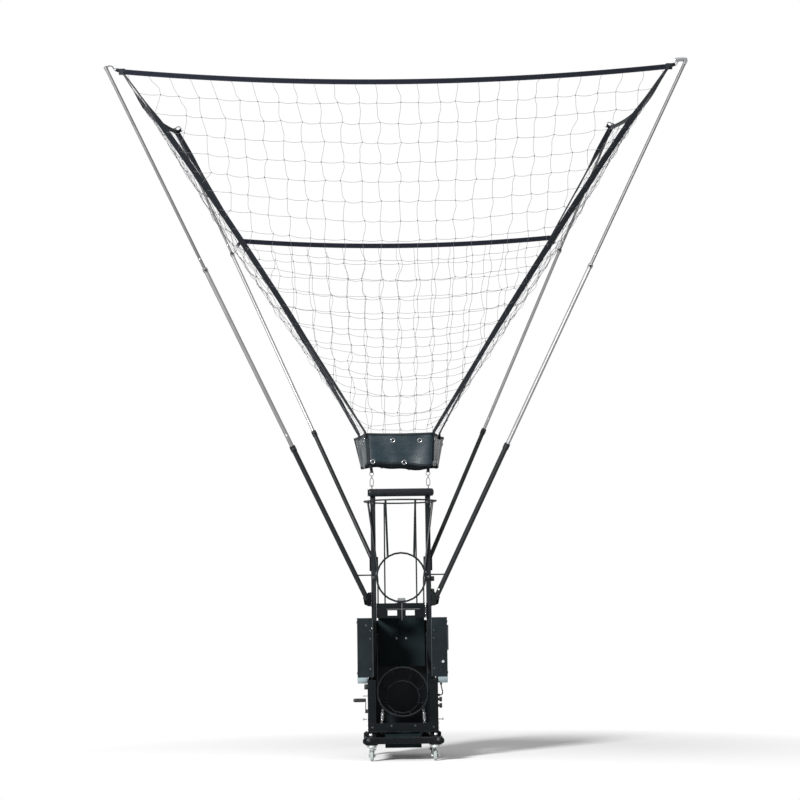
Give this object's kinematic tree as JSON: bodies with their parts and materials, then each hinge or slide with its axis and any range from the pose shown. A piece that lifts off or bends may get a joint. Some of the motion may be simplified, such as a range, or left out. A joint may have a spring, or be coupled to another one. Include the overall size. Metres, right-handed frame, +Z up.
{
  "type": "basketball shooting machine",
  "caption": "Rolling ball-return machine: a net on folding telescopic poles drops balls through a wire guide to a spring-driven throwing arm.",
  "frame": {"origin": "on the floor under the middle of the machine's bounding box", "axes": "+X to the right seen from the front, +Y to the back, +Z up; the ball leaves towards -Y"},
  "size_m": [2.8556, 1.3757, 3.4069],
  "materials": {
    "frame_paint": "satin black powder coat",
    "motor": "plated",
    "plastic": "moulded black",
    "cable": "black sheath",
    "vinyl": "coated teal-black vinyl",
    "twine": "dark knotted twine",
    "webbing": "woven navy-black webbing",
    "chrome": "polished",
    "caster": "moulded, grey-green",
    "wheel": "grey",
    "pole_sleeve": "matte black",
    "pole_steel": "bright zinc-plated"
  },
  "bodies": {
    "machine_frame": {"base_frame": "frame_paint", "base_front_beam": "frame_paint", "base_tray": "frame_paint", "lower_cross_plate": "frame_paint", "top_bar": "frame_paint", "guide_cage": "frame_paint", "chute_frame": "frame_paint", "bay_back_panel": "frame_paint", "rear_cover": "frame_paint", "gear_motor": "motor", "control_box": "plastic", "side_cable": "cable", "net_funnel": "vinyl", "net_front_panel": "twine", "net_rear_wrap": "twine", "net_front_band": "webbing", "net_back_band": "webbing", "side_frame_left": "frame_paint", "column_left": "frame_paint", "side_cover_left": "frame_paint", "snap_hook_left": "chrome", "throw_spring_left": "chrome", "net_strap_left": "webbing", "front_bracket_left": "frame_paint", "rear_bracket_left": "frame_paint", "side_frame_right": "frame_paint", "column_right": "frame_paint", "side_cover_right": "frame_paint", "snap_hook_right": "chrome", "throw_spring_right": "chrome", "net_strap_right": "webbing", "front_bracket_right": "frame_paint", "rear_bracket_right": "frame_paint"},
    "throw_arm": {"throw_arm": "frame_paint"},
    "drive_crank": {"drive_crank": "motor"},
    "release_gate": {"release_gate": "motor"},
    "adjuster_crank": {"adjuster_crank": "frame_paint"},
    "clamp_knob_upper": {"clamp_knob_upper": "plastic"},
    "clamp_knob_lower": {"clamp_knob_lower": "plastic"},
    "power_button": {"power_button": "plastic"},
    "caster_fork_front_left": {"caster_fork_front_left": "caster"},
    "caster_wheel_front_left": {"caster_wheel_front_left": "wheel"},
    "caster_fork_front_right": {"caster_fork_front_right": "caster"},
    "caster_wheel_front_right": {"caster_wheel_front_right": "wheel"},
    "caster_fork_rear_left": {"caster_fork_rear_left": "caster"},
    "caster_wheel_rear_left": {"caster_wheel_rear_left": "wheel"},
    "caster_fork_rear_right": {"caster_fork_rear_right": "caster"},
    "caster_wheel_rear_right": {"caster_wheel_rear_right": "wheel"},
    "front_pole_sleeve_left": {"front_pole_sleeve_left": "pole_sleeve"},
    "front_pole_middle_left": {"front_pole_middle_left": "pole_steel"},
    "front_pole_top_left": {"front_pole_top_left": "pole_steel"},
    "front_pole_sleeve_right": {"front_pole_sleeve_right": "pole_sleeve"},
    "front_pole_middle_right": {"front_pole_middle_right": "pole_steel"},
    "front_pole_top_right": {"front_pole_top_right": "pole_steel"},
    "rear_pole_sleeve_left": {"rear_pole_sleeve_left": "pole_sleeve"},
    "rear_pole_middle_left": {"rear_pole_middle_left": "pole_steel"},
    "rear_pole_top_left": {"rear_pole_top_left": "pole_steel"},
    "rear_pole_sleeve_right": {"rear_pole_sleeve_right": "pole_sleeve"},
    "rear_pole_middle_right": {"rear_pole_middle_right": "pole_steel"},
    "rear_pole_top_right": {"rear_pole_top_right": "pole_steel"}
  },
  "joints": [
    {"name": "throw_arm_pivot", "type": "hinge", "parent": "machine_frame", "child": "throw_arm", "pos_m": [0, 0, 0.6], "axis": [-1, 0, 0], "range_deg": [-57, 35], "stiffness_Nm_per_rad": 20, "springref_deg": 5.73, "deforming": ["throw_spring_left", "throw_spring_right"]},
    {"name": "release_gate_hinge", "type": "hinge", "parent": "machine_frame", "child": "release_gate", "pos_m": [0, 0.16, 0.7745], "axis": [1, 0, 0], "range_deg": [0, 70], "stiffness_Nm_per_rad": 0.8, "springref_deg": -34.38},
    {"name": "drive_crank_spin", "type": "hinge", "parent": "machine_frame", "child": "drive_crank", "pos_m": [0.166, 0.036, 0.484], "axis": [1, 0, 0], "continuous": true},
    {"name": "adjuster_crank_spin", "type": "hinge", "parent": "machine_frame", "child": "adjuster_crank", "pos_m": [-0.175, -0.202, 0.243], "axis": [-1, 0, 0], "continuous": true},
    {"name": "clamp_knob_upper_turn", "type": "hinge", "parent": "machine_frame", "child": "clamp_knob_upper", "pos_m": [0.1753, -0.2025, 0.298], "axis": [1, 0, 0], "continuous": true},
    {"name": "clamp_knob_lower_turn", "type": "hinge", "parent": "machine_frame", "child": "clamp_knob_lower", "pos_m": [0.1753, -0.2025, 0.267], "axis": [1, 0, 0], "continuous": true},
    {"name": "power_button_push", "type": "slide", "parent": "machine_frame", "child": "power_button", "axis": [0, 1, 0], "range_m": [0, 0.0025], "stiffness_N_per_m": 400, "springref_m": -0.003},
    {"name": "caster_swivel_front_left", "type": "hinge", "parent": "machine_frame", "child": "caster_fork_front_left", "pos_m": [-0.157, -0.26, 0.079], "axis": [0, 0, 1], "continuous": true},
    {"name": "caster_roll_front_left", "type": "hinge", "parent": "caster_fork_front_left", "child": "caster_wheel_front_left", "pos_m": [-0.157, -0.242, 0.026], "axis": [1, 0, 0], "continuous": true},
    {"name": "caster_swivel_front_right", "type": "hinge", "parent": "machine_frame", "child": "caster_fork_front_right", "pos_m": [0.157, -0.26, 0.079], "axis": [0, 0, 1], "continuous": true},
    {"name": "caster_roll_front_right", "type": "hinge", "parent": "caster_fork_front_right", "child": "caster_wheel_front_right", "pos_m": [0.157, -0.242, 0.026], "axis": [1, 0, 0], "continuous": true},
    {"name": "caster_swivel_rear_left", "type": "hinge", "parent": "machine_frame", "child": "caster_fork_rear_left", "pos_m": [-0.157, 0.26, 0.079], "axis": [0, 0, 1], "continuous": true},
    {"name": "caster_roll_rear_left", "type": "hinge", "parent": "caster_fork_rear_left", "child": "caster_wheel_rear_left", "pos_m": [-0.157, 0.278, 0.026], "axis": [1, 0, 0], "continuous": true},
    {"name": "caster_swivel_rear_right", "type": "hinge", "parent": "machine_frame", "child": "caster_fork_rear_right", "pos_m": [0.157, 0.26, 0.079], "axis": [0, 0, 1], "continuous": true},
    {"name": "caster_roll_rear_right", "type": "hinge", "parent": "caster_fork_rear_right", "child": "caster_wheel_rear_right", "pos_m": [0.157, 0.278, 0.026], "axis": [1, 0, 0], "continuous": true},
    {"name": "front_pole_fold_left", "type": "hinge", "parent": "machine_frame", "child": "front_pole_sleeve_left", "pos_m": [-0.176, -0.075, 0.805], "axis": [-0.4374, 0.8993, 0], "range_deg": [0, 16.1]},
    {"name": "front_pole_middle_slide_left", "type": "slide", "parent": "front_pole_sleeve_left", "child": "front_pole_middle_left", "axis": [-0.423, -0.2057, 0.8824], "range_m": [-0.68, 0], "deforming": ["net_front_panel", "net_rear_wrap", "net_front_band", "net_back_band", "net_strap_left", "net_strap_right"]},
    {"name": "front_pole_top_slide_left", "type": "slide", "parent": "front_pole_middle_left", "child": "front_pole_top_left", "axis": [-0.423, -0.2057, 0.8824], "range_m": [-0.94, 0]},
    {"name": "front_pole_fold_right", "type": "hinge", "parent": "machine_frame", "child": "front_pole_sleeve_right", "pos_m": [0.176, -0.075, 0.805], "axis": [-0.4374, -0.8993, 0], "range_deg": [0, 16.1]},
    {"name": "front_pole_middle_slide_right", "type": "slide", "parent": "front_pole_sleeve_right", "child": "front_pole_middle_right", "axis": [0.423, -0.2057, 0.8824], "range_m": [-0.68, 0]},
    {"name": "front_pole_top_slide_right", "type": "slide", "parent": "front_pole_middle_right", "child": "front_pole_top_right", "axis": [0.423, -0.2057, 0.8824], "range_m": [-0.94, 0]},
    {"name": "rear_pole_fold_left", "type": "hinge", "parent": "machine_frame", "child": "rear_pole_sleeve_left", "pos_m": [-0.139, -0.006, 0.985], "axis": [0.5394, 0.8421, 0], "range_deg": [0, 12.8]},
    {"name": "rear_pole_middle_slide_left", "type": "slide", "parent": "rear_pole_sleeve_left", "child": "rear_pole_middle_left", "axis": [-0.3924, 0.2513, 0.8848], "range_m": [-0.6, 0]},
    {"name": "rear_pole_top_slide_left", "type": "slide", "parent": "rear_pole_middle_left", "child": "rear_pole_top_left", "axis": [-0.3924, 0.2513, 0.8848], "range_m": [-0.7, 0]},
    {"name": "rear_pole_fold_right", "type": "hinge", "parent": "machine_frame", "child": "rear_pole_sleeve_right", "pos_m": [0.139, -0.006, 0.985], "axis": [0.5394, -0.8421, 0], "range_deg": [0, 12.8]},
    {"name": "rear_pole_middle_slide_right", "type": "slide", "parent": "rear_pole_sleeve_right", "child": "rear_pole_middle_right", "axis": [0.3924, 0.2513, 0.8848], "range_m": [-0.6, 0]},
    {"name": "rear_pole_top_slide_right", "type": "slide", "parent": "rear_pole_middle_right", "child": "rear_pole_top_right", "axis": [0.3924, 0.2513, 0.8848], "range_m": [-0.7, 0]}
  ],
  "couplings": [
    {"joint": "front_pole_top_slide_left", "follows": "front_pole_middle_slide_left", "ratio": 1.3822},
    {"joint": "front_pole_fold_left", "follows": "front_pole_middle_slide_left", "rad_per_m": -0.41191},
    {"joint": "front_pole_middle_slide_right", "follows": "front_pole_middle_slide_left", "ratio": 1},
    {"joint": "front_pole_top_slide_right", "follows": "front_pole_middle_slide_left", "ratio": 1.3822},
    {"joint": "front_pole_fold_right", "follows": "front_pole_middle_slide_left", "rad_per_m": -0.41191},
    {"joint": "rear_pole_middle_slide_left", "follows": "front_pole_middle_slide_left", "ratio": 0.88226},
    {"joint": "rear_pole_top_slide_left", "follows": "front_pole_middle_slide_left", "ratio": 1.0293},
    {"joint": "rear_pole_fold_left", "follows": "front_pole_middle_slide_left", "rad_per_m": -0.32722},
    {"joint": "rear_pole_middle_slide_right", "follows": "front_pole_middle_slide_left", "ratio": 0.88226},
    {"joint": "rear_pole_top_slide_right", "follows": "front_pole_middle_slide_left", "ratio": 1.0293},
    {"joint": "rear_pole_fold_right", "follows": "front_pole_middle_slide_left", "rad_per_m": -0.32722}
  ]
}
